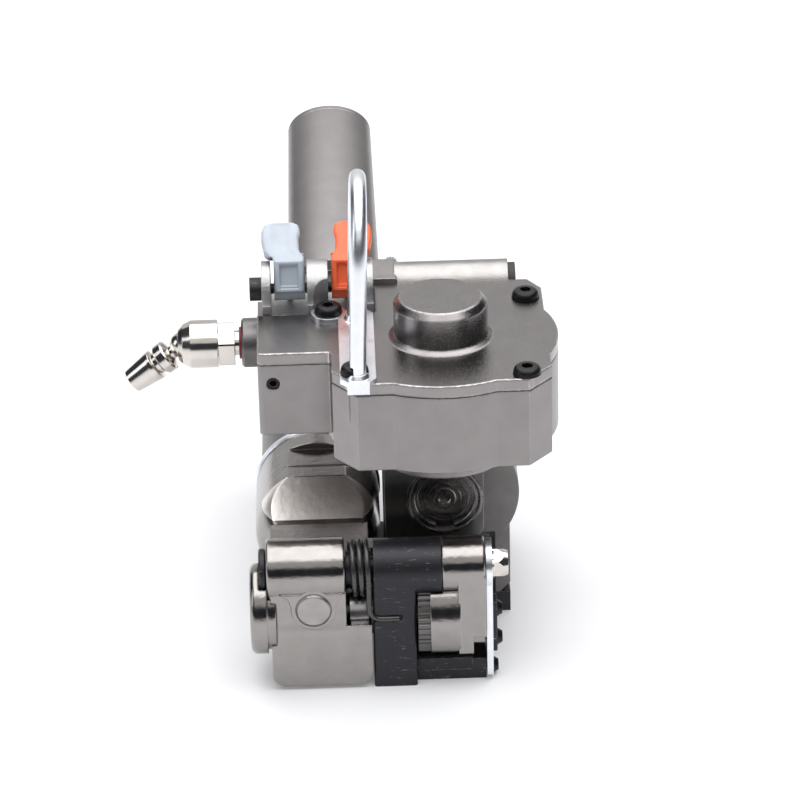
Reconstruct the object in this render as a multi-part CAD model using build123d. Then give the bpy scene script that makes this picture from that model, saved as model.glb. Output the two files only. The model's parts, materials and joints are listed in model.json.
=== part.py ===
"""Pneumatic strapping tensioner: tensions, friction-welds and cuts a plastic strap.

Millimetres, +Z up, +Y from the feed wheel towards the end of the handle, +X to the
operator's right.  The origin lies on the base's bottom face, straight below the feed wheel.
Each piece of the tool is one solid, or a group of like solids, in parts/NAME.step.
"""
import os
from math import cos, radians, sin

from build123d import *

# ---------------------------------------------------------------- driving dimensions
RUN = 0.05            # running clearance of a shaft or piston, per side
GAP = 0.3             # air between pieces that move past each other

# Base and strap line
BASE_TOP = 8.4
BASE_FRONT = -9.0
BASE_REAR = 98.0
GRIP_TOP = 9.0        # crest of the fixed gripper's teeth
BASE_LEFT = -18.0
BASE_RIGHT = 22.6
SIDE_PLATE_T = 2.3
GUIDE_STRIP_T = 1.6
SIDE_SCREWS = ((-5.5, 27.5), (-5.5, 15.5), (-5.5, 3.6))     # Y and Z of each

# Tension rocker: pivot axis, feed-wheel axis and tension-motor axis
PIVOT_Y, PIVOT_Z = -3.5, 45.3
PIN_R = 4.0
FEED_Z = 25.0
WHEEL_R = 15.7
WHEEL_X = (-2.3, 12.2)
SHAFT_R = 5.0
MOTOR_X, MOTOR_Z = -38.0, 28.0
MOTOR_R = 23.7
MOTOR_DOME_Y = 58.0   # where the round front of the motor becomes a cylinder
MOTOR_FLAT_Z = 49.0   # flat on top of the motor
FACET_LOW = (46.7, 39.8)      # two points, in Y and Z, of the sloping facet in front of the flat
FACET_TOP = (61.5, MOTOR_FLAT_Z)
COLLAR_Y = 92.0
BARREL_R = 21.5
BARREL_END = 146.0
LEFT_EAR_X = (-57.0, -28.5)
LEFT_EAR_R = 11.5
RIGHT_EAR_X = (7.0, BASE_RIGHT)
RIGHT_EAR_R = 10.6
GEAR_BOX_X = (-56.0, -19.3)
GEAR_BOX_BOTTOM = 1.8
GEAR_BOX_FRONT = PIVOT_Y - LEFT_EAR_R + 1.4
ROCKER_SWING = 14.0   # degrees the rocker can open
FRONT_PLUG = (-40.3, 34.0, 6.5)       # X, Z and radius of the plug's seat

# Tension gear and motor inside the rocker
CROWN_TIP = MOTOR_X - 3.4
CROWN_R = 12.5
CROWN_TEETH, PINION_TEETH = 36, 12
LINER_R, LINER_BORE_R = 19.4, 15.6
LINER_Y = (58.0, 88.0)
LINER_Z = MOTOR_Z - 1.2
LINER_BORE_Z = FEED_Z + 2.1
ROTOR_R = 13.4
ROTOR_SHAFT_R = 4.0
BUSH_R = 9.5
BUSH_X = ((-27.0, -20.3), (16.0, BASE_RIGHT - 0.3))

# Base arm
BOSS_X = (-18.0, 6.7)
BOSS_R = 10.4
ARM_X = (-18.8, -2.9)
ARM_FRONT, ARM_REAR = -13.0, -6.8
LEG_Z = 28.7          # height of the spring leg and its groove

# Press cylinder and weld unit share this vertical axis
PRESS_X, PRESS_Y = 9.5, 41.0
PRESS_BORE_R = 14.5
PRESS_STROKE = 2.5
WELD_Z = 53.0         # height of the weld motor's shaft
WELD_FRONT = 32.0
WELD_REAR = 104.0
WELD_TOP = 70.0
WELD_LEFT = -12.8
WELD_BODY_R = 28.0
CAVITY_X = (-9.0, 28.0)
CAVITY_Y = (42.0, 58.5)
BEARING_Y = (33.2, 39.9)
SHAFT_END_R, SHAFT_MID_R = 5.0, 4.0
ECC_R, ECC_OFFSET = 5.0, 0.8
JAW_SWING = 0.8
WELD_LINER_Y = (CAVITY_Y[1] + 3.5, 94.0)
WELD_LINER_R = 15.0
WELD_ROTOR_R = 10.0
ARM_BLOCK_X = (-3.5, 22.5)
ARM_BLOCK_Y = (46.8, 55.2)
ARM_BOTTOM, ARM_TOP = 12.2, 64.6
PISTON_Z = (113.5, 121.5)
ROD_Y = PRESS_Y + 9.2
ROD_R = 4.6

# Valve body, cover and cap
BODY_BOTTOM = 82.0
BODY_TOP = 112.0
GASKET_T = 0.5
COVER_TOP = 117.0
CAP_R = 17.2
CAP_TOP = 132.5
LOBE_R = 43.0         # round stretch of the body about the press cylinder
LEFT_FRONT = 29.0     # front face of the set-back left part
LEFT_X = -58.0
BODY_REAR = 86.0
COVER_BOLTS = ((-22.7, 7.9), (-31.5, 58.6), (39.3, 6.8), (42.2, 70.5))
BOLT_R = 3.0
SET_SCREW = (-52.4, 104.8, 2.5)       # X, Z and radius

# Hanger
HANGER_T = 2.0
BAIL_R = 3.0
BAIL_X = -21.6
BAIL_Y = (5.0, 53.0)
BAIL_TOP = 187.0
BAIL_LEAN = 1.9

# Levers and valve spools
LEVER_PIN_Y, LEVER_PIN_Z = 73.0, 122.5
LEVER_PIN_R = 2.0
BRACKET_X = (-56.0, -14.5)
BRACKET_Y = (61.8, 84.0)
BRACKET_EARS = ((-56.0, -52.7), (-39.1, -31.3), (-17.6, -14.5))
PAD_SHIFT = 5.2       # how far a lever's pad reaches out past its hub
TENSION_LEVER_X = (-51.4, -39.9)
WELD_LEVER_X = (-30.0, -18.7)
SPOOL_BACK = 8.0      # spool axis behind the lever pin
SPOOL_R = 3.0

# Handle
HANDLE_X = -29.0
HANDLE_TILT = 10.0
HANDLE_ROOT = (105.0, 105.5)
HANDLE_LENGTH = 109.0
HANDLE_ROOT_HALF = (17.6, 13.2)       # half width and half height at the root
HANDLE_END_HALF = (16.6, 12.5)
HANDLE_WALL = 3.0
ROOT_BLOCK = (-47.0, -15.3, 84.3, 113.0, 86.0, 114.0)

# Air inlet: swivel and plug
INLET_Y, INLET_Z = 74.0, 100.0
BALL_X = -86.5
BALL_R = 5.0
PLUG_TILT = 36.8

# Weld timer
TIMER_Y, TIMER_Z = 95.3, 111.6
TIMER_R = 9.0
TIMER_X = (-6.3, 36.8)
TIMER_BLOCK_X = (-15.0, TIMER_X[0])
KNOB_X, KNOB_Z, KNOB_R = -7.2, 114.5, 2.8


# ---------------------------------------------------------------- small shape helpers
def block(x0, x1, y0, y1, z0, z1):
    """Box between two corners."""
    centre = ((x0 + x1) / 2, (y0 + y1) / 2, (z0 + z1) / 2)
    return Pos(*centre) * Box(x1 - x0, y1 - y0, z1 - z0)


def rod_x(y, z, radius, x0, x1):
    """Round bar along X."""
    return Pos((x0 + x1) / 2, y, z) * Rot(0, 90, 0) * Cylinder(radius, x1 - x0)


def rod_y(x, z, radius, y0, y1):
    """Round bar along Y."""
    return Pos(x, (y0 + y1) / 2, z) * Rot(90, 0, 0) * Cylinder(radius, y1 - y0)


def rod_z(x, y, radius, z0, z1):
    """Round bar along Z."""
    return Pos(x, y, (z0 + z1) / 2) * Cylinder(radius, z1 - z0)


def slab_x(points, x0, x1):
    """Side outline in Y and Z, pulled along X."""
    outline = Polyline(*[(x0, y, z) for y, z in points], close=True)
    return extrude(make_face(outline), x1 - x0, dir=(1, 0, 0))


def slab_z(points, z0, z1):
    """Plan outline in X and Y, pulled along Z."""
    outline = Polyline(*[(x, y, z0) for x, y in points], close=True)
    return extrude(make_face(outline), z1 - z0, dir=(0, 0, 1))


def hexagon(across_flats, depth):
    """Hexagonal prism along Z, centred."""
    return extrude(RegularPolygon(across_flats / 2, 6, major_radius=False), depth / 2, both=True)


def hex_x(y, z, across_flats, x0, x1):
    """Hexagonal bar along X."""
    return Pos((x0 + x1) / 2, y, z) * Rot(0, 90, 0) * hexagon(across_flats, x1 - x0)


def button_screw(radius, head_r, head_h, length):
    """Button-head screw along Z: head's underside at 0, shank downwards."""
    head = Cone(head_r, head_r * 0.62, head_h, align=(Align.CENTER, Align.CENTER, Align.MIN))
    shank = rod_z(0, 0, radius, -length, 0)
    socket = Pos(0, 0, head_h) * hexagon(radius * 1.3, head_h * 1.2)
    return head + shank - socket


def ring_of(piece, count, radius, phase=0.0):
    """Copies of a piece set round the Z axis."""
    return [Rot(0, 0, phase + 360 * i / count) * Pos(radius, 0, 0) * piece for i in range(count)]


def merge(pieces):
    """All the pieces as one shape."""
    total = pieces[0]
    for piece in pieces[1:]:
        total = total + piece
    return total


def along_y(shape, x, y, z):
    """A shape built along Z, laid along +Y with its base at y."""
    return Pos(x, y, z) * Rot(-90, 0, 0) * shape


def along_x(shape, x, y, z):
    """A shape built along Z, laid along +X with its base at x."""
    return Pos(x, y, z) * Rot(0, 90, 0) * shape


# ---------------------------------------------------------------- base group
def base_plate():
    plate = block(BASE_LEFT, BASE_RIGHT, BASE_FRONT, BASE_REAR, 0, BASE_TOP)
    foot = block(BASE_RIGHT - 1, 34, 40, BASE_REAR, 0, BASE_TOP)
    arm_step = block(BASE_LEFT - 1, ARM_X[1], BASE_FRONT - 1, ARM_REAR, -1, BASE_TOP + 1)
    pocket = block(-2.5, 17.5, BASE_FRONT - 1, 9, 4, BASE_TOP + 1)
    jaw_pocket = block(-3, 22, 45, 57, 5, BASE_TOP + 1)
    plate = plate + foot - arm_step - pocket - jaw_pocket
    side_hole = rod_x(*SIDE_SCREWS[2], 1.5, BASE_RIGHT - 6, BASE_RIGHT + 1)
    return plate - side_hole


def wheel_centre(angle):
    """Y and Z of the feed wheel's axis with the rocker opened by an angle."""
    turn = radians(angle)
    y, z = -PIVOT_Y, FEED_Z - PIVOT_Z
    return PIVOT_Y + y * cos(turn) - z * sin(turn), PIVOT_Z + y * sin(turn) + z * cos(turn)


def base_arm():
    boss = rod_x(PIVOT_Y, PIVOT_Z, BOSS_R, *BOSS_X)
    for step in range(6):
        y, z = wheel_centre(ROCKER_SWING * step / 5)
        boss -= rod_x(y, z, WHEEL_R + GAP, ARM_X[1], BOSS_X[1] + 1)
    arm = block(*ARM_X, ARM_FRONT, ARM_REAR, 0, PIVOT_Z)
    arm = fillet(arm.edges().filter_by(Axis.Z).group_by(Axis.Y)[0], 1.2)
    web = block(ARM_X[0], ARM_X[1], ARM_REAR - 1, PIVOT_Y, PIVOT_Z - BOSS_R + 1, PIVOT_Z)
    leg_groove = rod_x(ARM_FRONT, LEG_Z, 1.3, ARM_X[0] - 1, -8)
    bore = rod_x(PIVOT_Y, PIVOT_Z, PIN_R + RUN, -20, 8)
    return boss + arm + web - leg_groove - bore


def tooth_bars(x0, x1, y0, y1, top, pitch, depth):
    """V-grooves along X that leave a row of teeth."""
    count = int((y1 - y0) / pitch)
    return [slab_x(((y0 + i * pitch, top + 0.1), (y0 + (i + 0.5) * pitch, top - depth),
                    (y0 + (i + 1) * pitch, top + 0.1)), x0 - 1, x1 + 1) for i in range(count)]


def gripper_plate():
    plate = block(-2.5, 17.5, BASE_FRONT, 9, 4, GRIP_TOP)
    return plate - merge(tooth_bars(-2.5, 17.5, BASE_FRONT, 9, GRIP_TOP, 1.5, 0.6))


def lower_weld_jaw():
    jaw = block(-3, 22, 45, 57, 5, GRIP_TOP)
    return jaw - merge(tooth_bars(-3, 22, 45, 57, GRIP_TOP, 1.5, 0.5))


def side_plate():
    x0, x1 = BASE_RIGHT + 0.2, BASE_RIGHT + 0.2 + SIDE_PLATE_T
    top = rod_x(PIVOT_Y, PIVOT_Z, 9.4, x0, x1)
    strip = block(x0, x1, -11.5, 5.5, 1.2, PIVOT_Z)
    strip = fillet(strip.edges().filter_by(Axis.X).group_by(Axis.Z)[0], 3.0)
    holes = [rod_x(y, z, 1.6, x0 - 1, x1 + 1) for y, z in SIDE_SCREWS]
    return top + strip - rod_x(PIVOT_Y, PIVOT_Z, PIN_R + 0.1, x0 - 1, x1 + 1) - merge(holes)


def guide_strip():
    x0 = BASE_RIGHT + 0.2 + SIDE_PLATE_T
    strip = block(x0, x0 + GUIDE_STRIP_T, -9.5, -1.5, 11, 32)
    strip = fillet(strip.edges().filter_by(Axis.X), 1.5)
    return strip - merge([rod_x(y, z, 1.6, x0 - 1, x0 + 3) for y, z in SIDE_SCREWS[:2]])


def side_screws():
    screws = []
    plate_face = BASE_RIGHT + 0.2 + SIDE_PLATE_T
    for number, (y, z) in enumerate(SIDE_SCREWS):
        on_strip = number < 2
        seat = plate_face + (GUIDE_STRIP_T if on_strip else 0)
        length = GUIDE_STRIP_T + SIDE_PLATE_T if on_strip else 7.0
        screws.append(along_x(button_screw(1.5, 3.3, 2.0, length), seat, y, z))
    return screws


def pivot_pin():
    shank = rod_x(PIVOT_Y, PIVOT_Z, PIN_R, -58.0, BASE_RIGHT + 5.5)
    head = chamfer(rod_x(PIVOT_Y, PIVOT_Z, 8.0, -59.8, -57.3).edges(), 0.5)
    return shank + head


def pivot_nut():
    """Domed hexagon nut with a washer face."""
    x0, height = BASE_RIGHT + 0.2 + SIDE_PLATE_T, 6.0
    body = hex_x(PIVOT_Y, PIVOT_Z, 10.0, x0, x0 + height)
    dome = Cone(6.6, 4.4, height, align=(Align.CENTER, Align.CENTER, Align.MIN))
    rounded = body & along_x(dome, x0, PIVOT_Y, PIVOT_Z)
    washer = rod_x(PIVOT_Y, PIVOT_Z, 5.4, x0, x0 + 0.8)
    return rounded + washer - rod_x(PIVOT_Y, PIVOT_Z, PIN_R, x0 - 1, BASE_RIGHT + 5.5)


def pivot_sleeve():
    sleeve = rod_x(PIVOT_Y, PIVOT_Z, 6.4, -28.2, -19.1)
    return sleeve - rod_x(PIVOT_Y, PIVOT_Z, PIN_R + RUN, -29, -18)


def torsion_spring():
    """Coil round the pivot whose leg lies in the arm's groove."""
    wire_r, coil_r, pitch, turns = 1.05, 9.75, 2.6, 2.75
    helix = Helix(pitch, pitch * turns, coil_r)
    wire = sweep(Plane(helix @ 0, z_dir=helix % 0) * Circle(wire_r), path=helix)
    coil = Pos(-27.2, PIVOT_Y, PIVOT_Z) * Rot(0, 90, 0) * Rot(0, 0, 90) * wire
    leg_x = -27.2 + pitch * turns
    drop = rod_z(leg_x, ARM_FRONT, wire_r, LEG_Z, PIVOT_Z)
    foot = rod_x(ARM_FRONT, LEG_Z, wire_r, leg_x, -9.0)
    return coil + drop + foot + Pos(leg_x, ARM_FRONT, LEG_Z) * Sphere(wire_r)


# ---------------------------------------------------------------- tension rocker
def motor_shell():
    """Round motor with a domed front, cut by a flat on top and a sloping facet before it."""
    shell = rod_y(MOTOR_X, MOTOR_Z, MOTOR_R, MOTOR_DOME_Y, COLLAR_Y)
    shell += Pos(MOTOR_X, MOTOR_DOME_Y, MOTOR_Z) * Sphere(MOTOR_R)
    slope = (FACET_TOP[1] - FACET_LOW[1]) / (FACET_TOP[0] - FACET_LOW[0])
    front, rear, lip = 30.0, COLLAR_Y + 1, 83.0
    front_z = FACET_LOW[1] - slope * (FACET_LOW[0] - front)
    outline = ((front, 0), (front, front_z), FACET_TOP, (lip, MOTOR_FLAT_Z), (lip, 60), (rear, 60), (rear, 0))
    keep = slab_x(outline, MOTOR_X - 30, MOTOR_X + 30)
    groove = block(MOTOR_X - 20, MOTOR_X + 20, 69.0, 70.2, MOTOR_FLAT_Z - 0.7, MOTOR_FLAT_Z + 1)
    return (shell & keep) - groove


def plug_pad():
    """Raised shield round the front plug, flared where it meets the ear."""
    x, z, _ = FRONT_PLUG
    front, back = GEAR_BOX_FRONT - 0.9, GEAR_BOX_FRONT + 1
    flare = Polyline(*[(x + dx, back, z + dz) for dx, dz in
                       ((-12.3, 6.6), (-9.2, 4.6), (-7.8, 0), (7.8, 0), (9.2, 4.6), (11.5, 6.6))], close=True)
    return rod_y(x, z, 8.2, front, back) + extrude(make_face(flare), back - front, dir=(0, -1, 0))


def gear_box():
    box = block(*GEAR_BOX_X, GEAR_BOX_FRONT, 44, GEAR_BOX_BOTTOM, 38)
    box = fillet(box.edges().filter_by(Axis.Y).group_by(Axis.Z)[0], 5.0)
    box -= block(LEFT_EAR_X[1], BOSS_X[0], -20, 10, FEED_Z + 1.4, 60)
    return box + plug_pad()


def rocker_bridge():
    """Crosses from the gear box to the right ear, behind and above the feed wheel."""
    bridge = block(GEAR_BOX_X[1] - 1, RIGHT_EAR_X[1] - 0.3, 17.5, 24, 12, 42)
    tube = rod_x(0, FEED_Z, 8.4, GEAR_BOX_X[1] - 1, WHEEL_X[0] - 0.4)
    tube &= block(-30, 0, ARM_REAR + GAP, 20, 0, 34)
    return bridge + tube + block(GEAR_BOX_X[1] - 1, WHEEL_X[0] - 0.4, 6, 18, 17, 32)


def right_ear():
    """Ear, cheek beside the feed wheel, and the round guard in front of the wheel."""
    ear = rod_x(PIVOT_Y, PIVOT_Z, RIGHT_EAR_R, *RIGHT_EAR_X)
    ear = fillet(ear.edges().group_by(Axis.X)[-1], 1.2)
    bottom = 13.5
    cheek = block(WHEEL_X[1] + GAP, RIGHT_EAR_X[1], PIVOT_Y - RIGHT_EAR_R, 18, bottom, PIVOT_Z)
    cheek -= block(17.8, RIGHT_EAR_X[1] + 1, -20, -6.5, bottom - 1, 20.3)
    guard = rod_x(0, FEED_Z, WHEEL_R + 1.3, 2.2, WHEEL_X[1] + 1)
    guard &= block(0, 20, -20, 0, bottom, 38)
    return ear + cheek + guard


def rocker_casting():
    ear = rod_x(PIVOT_Y, PIVOT_Z, LEFT_EAR_R, *LEFT_EAR_X)
    ear = chamfer(ear.edges(), 0.6)
    web = block(LEFT_EAR_X[0] + 1, LEFT_EAR_X[1], GEAR_BOX_FRONT, 9, 30, PIVOT_Z)
    body = motor_shell() + gear_box() + ear + web + rocker_bridge() + right_ear()
    wheel_room = rod_x(0, FEED_Z, WHEEL_R + GAP, WHEEL_X[0] - 0.4, WHEEL_X[1] + GAP)
    shaft_bore = rod_x(0, FEED_Z, SHAFT_R + RUN, -60, 23)
    bearing_seats = merge([rod_x(0, FEED_Z, BUSH_R, *span) for span in BUSH_X])
    gear_room = rod_x(0, FEED_Z, 13.4, -57, -27.0)
    pin_bore = rod_x(PIVOT_Y, PIVOT_Z, PIN_R + RUN, -60, 26)
    boss_room = rod_x(PIVOT_Y, PIVOT_Z, BOSS_R + 2 * GAP, LEFT_EAR_X[1] + 0.01, RIGHT_EAR_X[0] - 0.01)
    pinion_room = rod_y(MOTOR_X, FEED_Z, 8.0, 8, 46)
    motor_room = rod_y(MOTOR_X, LINER_Z, LINER_R + RUN, LINER_Y[0], COLLAR_Y + 3)
    rotor_bore = rod_y(MOTOR_X, FEED_Z, ROTOR_SHAFT_R + RUN, 40, LINER_Y[0] + 1)
    plug_seat = rod_y(*FRONT_PLUG, -20, GEAR_BOX_FRONT + 0.8)
    cover_seat = rod_x(-1.0, MOTOR_Z, 15.2, -57, -54)
    for room in (wheel_room, shaft_bore, bearing_seats, gear_room, pin_bore, boss_room,
                 pinion_room, motor_room, rotor_bore, plug_seat, cover_seat):
        body -= room
    return body


def gear_cover():
    """Round cover with a raised, rounded rim that closes the left side of the gear box."""
    y, z = -1.0, MOTOR_Z
    rim = rod_x(y, z, 16.7, -63.5, -57.2)
    rim = fillet(rim.edges().group_by(Axis.X)[0], 2.4)
    rim -= rod_x(y, z, 12.5, -64, -62.3)
    rim -= rod_x(PIVOT_Y, PIVOT_Z, 8.6, -60.1, -57)
    spigot = rod_x(y, z, 15.1, -57.2, -54.1)
    spigot -= rod_x(0, FEED_Z, 6.0, -58, -54)
    return rim + spigot - rod_x(PIVOT_Y, PIVOT_Z, LEFT_EAR_R + 0.1, -57.2, -54)


def front_plug():
    x, z, radius = FRONT_PLUG
    plug = rod_y(x, z, radius - RUN, GEAR_BOX_FRONT - 1.5, GEAR_BOX_FRONT + 0.8)
    return chamfer(plug.edges().group_by(Axis.Y)[0], 0.7)


def feed_wheel():
    wheel = rod_x(0, FEED_Z, WHEEL_R, *WHEEL_X)
    grooves = []
    teeth = 44
    for i in range(teeth):
        notch = Box(0.9, 0.9, WHEEL_X[1] - WHEEL_X[0] + 2)
        turned = Rot(0, 0, 360 * i / teeth) * Pos(WHEEL_R + 0.1, 0, 0) * Rot(0, 0, 45) * notch
        grooves.append(turned)
    middle = (WHEEL_X[0] + WHEEL_X[1]) / 2
    wheel -= Pos(middle, 0, FEED_Z) * Rot(0, 90, 0) * merge(grooves)
    return wheel - rod_x(0, FEED_Z, SHAFT_R, WHEEL_X[0] - 1, WHEEL_X[1] + 1)


def feed_shaft():
    return rod_x(0, FEED_Z, SHAFT_R, -51.0, BASE_RIGHT - 0.8)


def feed_bearings():
    """Two plain bushes for the feed shaft."""
    bushes = []
    for x0, x1 in BUSH_X:
        bush = rod_x(0, FEED_Z, BUSH_R, x0, x1) - rod_x(0, FEED_Z, SHAFT_R + RUN, x0 - 1, x1 + 1)
        bushes.append(bush)
    return bushes


def crown_gear():
    """Face gear: radial teeth that face the rotor's pinion."""
    disc = rod_x(0, FEED_Z, CROWN_R, -50.0, CROWN_TIP)
    disc -= rod_x(0, FEED_Z, 8.0, CROWN_TIP - 2.0, CROWN_TIP + 1)
    disc -= rod_x(0, FEED_Z, SHAFT_R, -60, -30)
    half = radians(3.2)
    slots = []
    for i in range(CROWN_TEETH):
        wedge = Polyline((7, -7 * half), (13, -13 * half), (13, 13 * half), (7, 7 * half), close=True)
        slot = extrude(make_face(wedge), 1.6)
        slots.append(Rot(0, 0, 360 * i / CROWN_TEETH) * slot)
    cutter = Rot(0, 90, 0) * Rot(0, 0, 90) * merge(slots)
    return disc - Pos(CROWN_TIP - 1.3, 0, FEED_Z) * cutter


# ---------------------------------------------------------------- tension motor
def tension_rotor():
    """Rotor with its shaft and pinion; the slots hold the vanes."""
    rotor = rod_y(MOTOR_X, FEED_Z, ROTOR_R, LINER_Y[0] + GAP, LINER_Y[1] - GAP)
    slots = merge(ring_of(Pos(-2.5, 0, 0) * Box(7, 1.6, 40), 5, ROTOR_R))
    rotor -= along_y(slots, MOTOR_X, sum(LINER_Y) / 2, FEED_Z)
    teeth = merge(ring_of(Pos(-0.7, 0, 2) * Box(1.4, 0.6, 4), PINION_TEETH, 3.8))
    pinion = along_y(rod_z(0, 0, 2.7, 0, 4.3) + teeth, MOTOR_X, 8.3, FEED_Z)
    return rotor + rod_y(MOTOR_X, FEED_Z, ROTOR_SHAFT_R, 12.5, COLLAR_Y + 2) + pinion


def tension_vanes():
    vane = Pos(-3.0, 0, 0) * Box(5.8, 1.5, LINER_Y[1] - LINER_Y[0] - 1)
    middle = sum(LINER_Y) / 2
    return [along_y(v, MOTOR_X, middle, FEED_Z) for v in ring_of(vane, 5, ROTOR_R)]


def tension_liner():
    liner = rod_y(MOTOR_X, LINER_Z, LINER_R, *LINER_Y)
    return liner - rod_y(MOTOR_X, LINER_BORE_Z, LINER_BORE_R, LINER_Y[0] - 1, LINER_Y[1] + 1)


def motor_collar():
    """Rear end plate of the motor, whose bright rim shows between casting and barrel."""
    collar = rod_y(MOTOR_X, MOTOR_Z, MOTOR_R + 0.6, COLLAR_Y, COLLAR_Y + 3.5)
    collar = chamfer(collar.edges(), 0.6)
    collar += rod_y(MOTOR_X, LINER_Z, LINER_R, LINER_Y[1], COLLAR_Y)
    return collar - rod_y(MOTOR_X, FEED_Z, ROTOR_SHAFT_R + RUN, LINER_Y[1] - 1, COLLAR_Y + 2)


def motor_barrel():
    barrel = rod_y(MOTOR_X, MOTOR_Z, BARREL_R, COLLAR_Y + 3.5, BARREL_END)
    return barrel - rod_y(MOTOR_X, MOTOR_Z, BARREL_R - 3.5, COLLAR_Y + 3, BARREL_END + 1)


def motor_rear_cover():
    cover = rod_y(MOTOR_X, MOTOR_Z, BARREL_R, BARREL_END, BARREL_END + 5)
    cover = fillet(cover.edges().group_by(Axis.Y)[-1], 2.5)
    spigot = rod_y(MOTOR_X, MOTOR_Z, BARREL_R - 3.6, BARREL_END - 4, BARREL_END)
    vents = ring_of(rod_z(0, 0, 1.6, -1, 12), 6, 8.0)
    return cover + spigot - along_y(merge(vents), MOTOR_X, BARREL_END - 5, MOTOR_Z)


# ---------------------------------------------------------------- weld unit
def weld_housing():
    """Casting that holds the weld motor and carries the valve body on its flat top."""
    barrel = rod_y(PRESS_X, WELD_Z, WELD_BODY_R, WELD_FRONT + 5, WELD_REAR)
    barrel &= block(WELD_LEFT, 60, 0, 120, 36, WELD_TOP)
    face = block(WELD_LEFT, 24, WELD_FRONT, WELD_FRONT + 8, 36, WELD_TOP)
    face = fillet(face.edges().filter_by(Axis.Y).group_by(Axis.Z)[0].group_by(Axis.X)[-1], 6)
    left = block(WELD_LEFT, PRESS_X, WELD_FRONT + 5, WELD_REAR, 36, WELD_TOP)
    wall = block(28.3, 34.0, 40, WELD_REAR, BASE_TOP, 60)
    wall = chamfer(wall.edges().filter_by(Axis.Y).group_by(Axis.Z)[0].group_by(Axis.X)[-1], 4)
    rear = block(WELD_LEFT, -6.0, WELD_REAR - 20, WELD_REAR - 7, BASE_TOP, 45)
    body = barrel + face + left + wall + rear
    body -= block(*CAVITY_X, *CAVITY_Y, 30, WELD_TOP - 1.0)
    body -= rod_y(PRESS_X, WELD_Z, 12.8, WELD_FRONT - 1, 40)
    body -= rod_y(PRESS_X, WELD_Z, 6.0, 39, 45)
    body -= rod_y(PRESS_X, WELD_Z, SHAFT_MID_R + RUN, CAVITY_Y[1] - 1, CAVITY_Y[1] + 5)
    body -= rod_y(PRESS_X, WELD_Z, WELD_LINER_R, WELD_LINER_Y[0], WELD_REAR + 1)
    return body - rod_z(PRESS_X, ROD_Y, ROD_R + 0.4, 60, 80)


def bearing_outer_ring():
    ring = rod_y(PRESS_X, WELD_Z, 12.75, *BEARING_Y)
    ring -= rod_y(PRESS_X, WELD_Z, 10.2, 30, 45)
    groove = along_y(Torus(9.0, 2.0), PRESS_X, sum(BEARING_Y) / 2, WELD_Z)
    return ring - groove


def bearing_inner_ring():
    ring = rod_y(PRESS_X, WELD_Z, 7.8, *BEARING_Y) - rod_y(PRESS_X, WELD_Z, 5.0, 30, 45)
    groove = along_y(Torus(9.0, 2.0), PRESS_X, sum(BEARING_Y) / 2, WELD_Z)
    return ring - groove


def weld_shaft():
    """Shaft with the eccentric that shakes the weld arm."""
    shaft = rod_y(PRESS_X, WELD_Z, SHAFT_END_R, BEARING_Y[0] + 0.3, 41.5)
    shaft += rod_y(PRESS_X, WELD_Z, SHAFT_MID_R, 41, 98)
    eccentric = rod_y(PRESS_X, WELD_Z + ECC_OFFSET, ECC_R, 46.5, 55.5)
    return shaft + eccentric - rod_y(PRESS_X, WELD_Z, 2.0, 30, 38)


def weld_rotor():
    rotor = rod_y(PRESS_X, WELD_Z, WELD_ROTOR_R, WELD_LINER_Y[0] + GAP, WELD_LINER_Y[1] - GAP)
    rotor -= rod_y(PRESS_X, WELD_Z, SHAFT_MID_R, 50, 98)
    slots = merge(ring_of(Pos(-1.2, 0, 0) * Box(4.4, 1.6, 40), 4, WELD_ROTOR_R))
    return rotor - along_y(slots, PRESS_X, sum(WELD_LINER_Y) / 2, WELD_Z)


def weld_vanes():
    length = WELD_LINER_Y[1] - WELD_LINER_Y[0] - 1.2
    vane = Pos(-1.7, 0, 0) * Box(3.2, 1.5, length)
    middle = sum(WELD_LINER_Y) / 2
    return [along_y(v, PRESS_X, middle, WELD_Z) for v in ring_of(vane, 4, WELD_ROTOR_R)]


def weld_liner():
    liner = rod_y(PRESS_X, WELD_Z, WELD_LINER_R, *WELD_LINER_Y)
    return liner - rod_y(PRESS_X, WELD_Z + 1.5, 11.8, WELD_LINER_Y[0] - 1, 95)


def weld_rear_cover():
    cover = rod_y(PRESS_X, WELD_Z, 16.8, WELD_REAR, WELD_REAR + 4)
    cover = chamfer(cover.edges().group_by(Axis.Y)[-1], 1.2)
    cover += rod_y(PRESS_X, WELD_Z, WELD_LINER_R - RUN, WELD_LINER_Y[1], WELD_REAR)
    return cover - rod_y(PRESS_X, WELD_Z, SHAFT_MID_R + RUN, WELD_LINER_Y[1] - 1, 99)


def vibration_arm():
    """Arm shaken sideways by the eccentric, with the toothed upper weld jaw at its foot."""
    arm = block(*ARM_BLOCK_X, *ARM_BLOCK_Y, ARM_BOTTOM, ARM_TOP)
    neck = block(*ARM_BLOCK_X, 49.6, 52.4, ARM_TOP, 66.6)
    tee_head = block(*ARM_BLOCK_X, 47.6, 54.4, 66.2, 67.4)
    hole_r = ECC_R + ECC_OFFSET + JAW_SWING + GAP
    for z in (WELD_Z, WELD_Z + PRESS_STROKE):
        arm -= rod_y(PRESS_X, z, hole_r, 45, 57)
    arm -= block(PRESS_X - hole_r, PRESS_X + hole_r, 45, 57, WELD_Z, WELD_Z + PRESS_STROKE)
    pitch, depth = 1.5, 0.6
    grooves = []
    for i in range(int((ARM_BLOCK_Y[1] - ARM_BLOCK_Y[0]) / pitch)):
        y = ARM_BLOCK_Y[0] + i * pitch
        outline = ((y, ARM_BOTTOM - 0.1), (y + pitch / 2, ARM_BOTTOM + depth), (y + pitch, ARM_BOTTOM - 0.1))
        grooves.append(slab_x(outline, ARM_BLOCK_X[0] - 1, ARM_BLOCK_X[1] + 1))
    return arm + neck + tee_head - merge(grooves)


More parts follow.
